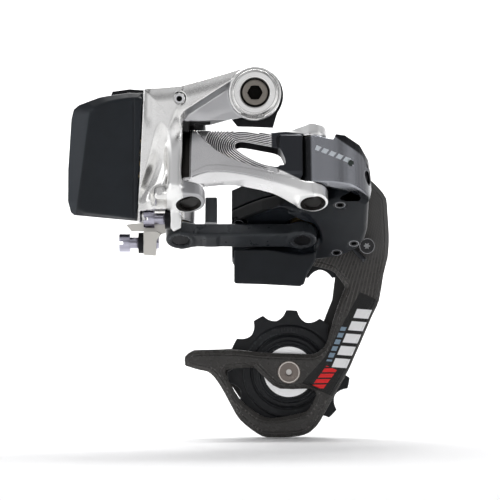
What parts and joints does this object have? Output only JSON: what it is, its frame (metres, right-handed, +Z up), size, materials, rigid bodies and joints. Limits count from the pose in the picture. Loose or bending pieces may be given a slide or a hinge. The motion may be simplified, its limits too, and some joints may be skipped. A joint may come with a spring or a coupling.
{
  "type": "rear bicycle derailleur",
  "caption": "Wireless electric rear derailleur with a slanted parallelogram linkage, clip-on battery, lower knuckle gearbox and short sprung cage with toothed pulleys.",
  "frame": {"origin": "centre of the hanger bolt at the hanger's outboard face", "axes": "+X forward on the bicycle, +Y inboard towards the wheel along the hanger bolt, +Z up"},
  "size_m": [0.1123, 0.0632, 0.1309],
  "materials": {
    "polished_alloy": "polished",
    "bolt_steel": "satin",
    "black_steel": "satin black oxide",
    "bracket_metal": "machined",
    "pin_metal": "satin anodised",
    "bronze_bush": "machined",
    "contact_gold": "polished",
    "battery_plastic": "fine satin",
    "dock_plastic": "satin",
    "cell_wrap": "gloss",
    "outer_link_finish": "polished, shading to grey anodising",
    "inner_link_finish": "satin",
    "p_knuckle_finish": "gloss",
    "gearbox_finish": "satin",
    "board": "satin",
    "carbon_plate": "satin clear coat over fibre",
    "bolt_bronze_grey": "satin anodised",
    "pulley_plastic": "matte",
    "shield_steel": "polished",
    "lens": "clear"
  },
  "bodies": {
    "hanger_mount": {"hanger_bolt": "bolt_steel", "stop_plate": "black_steel", "wave_washer": "bolt_steel"},
    "b_knuckle": {"b_knuckle_body": "polished_alloy", "pivot_bushes": "bronze_bush", "battery_dock": "dock_plastic", "dock_contacts": "contact_gold", "knuckle_set_screw": "black_steel", "limit_screw_bracket": "bracket_metal", "limit_screw_collars": "dock_plastic", "outer_link_rear_pin": "pin_metal", "inner_link_rear_bush": "bronze_bush", "latch_pin": "bolt_steel", "latch_spring": "bolt_steel"},
    "latch": {"battery_latch": "dock_plastic"},
    "battery": {"battery_case": "battery_plastic", "battery_cap": "dock_plastic", "battery_cell": "cell_wrap", "battery_contacts": "contact_gold"},
    "b_screw": {"b_adjust_screw": "bolt_steel"},
    "high_screw": {"limit_screw_high": "bolt_steel"},
    "low_screw": {"limit_screw_low": "bolt_steel"},
    "outer_link": {"outer_link_body": "outer_link_finish", "outer_link_bushes": "bronze_bush", "outer_link_front_pin": "pin_metal"},
    "inner_link": {"inner_link_body": "inner_link_finish", "inner_link_rear_pin": "pin_metal", "inner_link_front_pin": "pin_metal", "output_gear": "bolt_steel"},
    "p_knuckle": {"p_knuckle_body": "p_knuckle_finish", "gearbox_case": "gearbox_finish", "gearbox_cover": "gearbox_finish", "cover_screws": "black_steel", "motor_can": "bolt_steel", "circuit_board": "board", "front_link_bushes": "bronze_bush", "inner_link_front_bush": "bronze_bush", "cage_bush": "bronze_bush", "cage_spring": "bolt_steel", "idler_axle": "bolt_steel", "button_spring": "bolt_steel", "status_lens": "lens"},
    "idler": {"idler_gear": "bronze_bush"},
    "motor_shaft": {"motor_pinion": "bolt_steel"},
    "button": {"function_button": "dock_plastic"},
    "cage": {"cage_outer_plate": "carbon_plate", "cage_inner_plate": "carbon_plate", "cage_axle": "bolt_steel", "cage_stop_screw": "black_steel", "pulley_bolts": "bolt_bronze_grey", "pulley_bushes": "bolt_steel"},
    "guide_pulley": {"guide_wheel": "pulley_plastic", "guide_bearing_race": "bolt_steel", "guide_bearing_balls": "shield_steel", "guide_bearing_shields": "shield_steel"},
    "tension_pulley": {"tension_wheel": "pulley_plastic", "tension_bearing_race": "bolt_steel", "tension_bearing_balls": "shield_steel", "tension_bearing_shields": "shield_steel"}
  },
  "joints": [
    {"name": "hanger_pivot", "type": "hinge", "parent": "hanger_mount", "child": "b_knuckle", "pos_m": [0, 0, 0], "axis": [0, 1, 0], "range_deg": [0, 25]},
    {"name": "shift", "type": "hinge", "parent": "b_knuckle", "child": "outer_link", "pos_m": [-0.0227, -0.024, -0.038], "axis": [0, 0.5736, 0.8192], "range_deg": [-21, 40]},
    {"name": "front_pivot", "type": "hinge", "parent": "outer_link", "child": "p_knuckle", "pos_m": [0.0198, -0.024, -0.038], "axis": [0, 0.5736, 0.8192], "range_deg": [-40, 21]},
    {"name": "inner_link_pivot", "type": "hinge", "parent": "b_knuckle", "child": "inner_link", "pos_m": [-0.026, -0.00557, -0.05091], "axis": [0, 0.5736, 0.8192], "range_deg": [-21, 40]},
    {"name": "idler_spin", "type": "hinge", "parent": "p_knuckle", "child": "idler", "pos_m": [0.0063, 0.00131, -0.04108], "axis": [0, 0.5736, 0.8192], "range_deg": [-96.1, 57.7]},
    {"name": "motor_spin", "type": "hinge", "parent": "p_knuckle", "child": "motor_shaft", "pos_m": [-0.00253, 0.00779, -0.04072], "axis": [0, 0.5736, 0.8192], "range_deg": [-187.3, 312.1]},
    {"name": "cage_pivot", "type": "hinge", "parent": "p_knuckle", "child": "cage", "pos_m": [0.03, 0.018, -0.047], "axis": [0, -1, 0], "range_deg": [0, 100], "stiffness_Nm_per_rad": 0.3, "springref_deg": -57.3},
    {"name": "guide_spin", "type": "hinge", "parent": "cage", "child": "guide_pulley", "pos_m": [0.0235, 0.026, -0.0425], "axis": [0, 1, 0], "continuous": true},
    {"name": "tension_spin", "type": "hinge", "parent": "cage", "child": "tension_pulley", "pos_m": [0.0122, 0.026, -0.0976], "axis": [0, 1, 0], "continuous": true},
    {"name": "battery_slide", "type": "slide", "parent": "b_knuckle", "child": "battery", "axis": [-0.9923, 0, -0.124], "range_m": [0, 0.032]},
    {"name": "latch_hinge", "type": "hinge", "parent": "b_knuckle", "child": "latch", "pos_m": [-0.0354, -0.0125, -0.0013], "axis": [0, 1, 0], "range_deg": [0, 35], "stiffness_Nm_per_rad": 0.01, "springref_deg": -17.19},
    {"name": "b_screw_travel", "type": "slide", "parent": "b_knuckle", "child": "b_screw", "axis": [1, 0, 0], "range_m": [-0.003, 0]},
    {"name": "high_screw_travel", "type": "slide", "parent": "b_knuckle", "child": "high_screw", "axis": [1, 0, 0], "range_m": [-0.001, 0.001]},
    {"name": "low_screw_travel", "type": "slide", "parent": "b_knuckle", "child": "low_screw", "axis": [1, 0, 0], "range_m": [-0.001, 0.001]},
    {"name": "button_press", "type": "slide", "parent": "p_knuckle", "child": "button", "axis": [-0.788, 0.6157, 0], "range_m": [0, 0.0008], "stiffness_N_per_m": 400, "springref_m": -0.0015}
  ],
  "couplings": [
    {"joint": "front_pivot", "follows": "shift", "ratio": -1},
    {"joint": "inner_link_pivot", "follows": "shift", "ratio": 1},
    {"joint": "idler_spin", "follows": "shift", "ratio": -2.4},
    {"joint": "motor_spin", "follows": "shift", "ratio": 7.8}
  ]
}
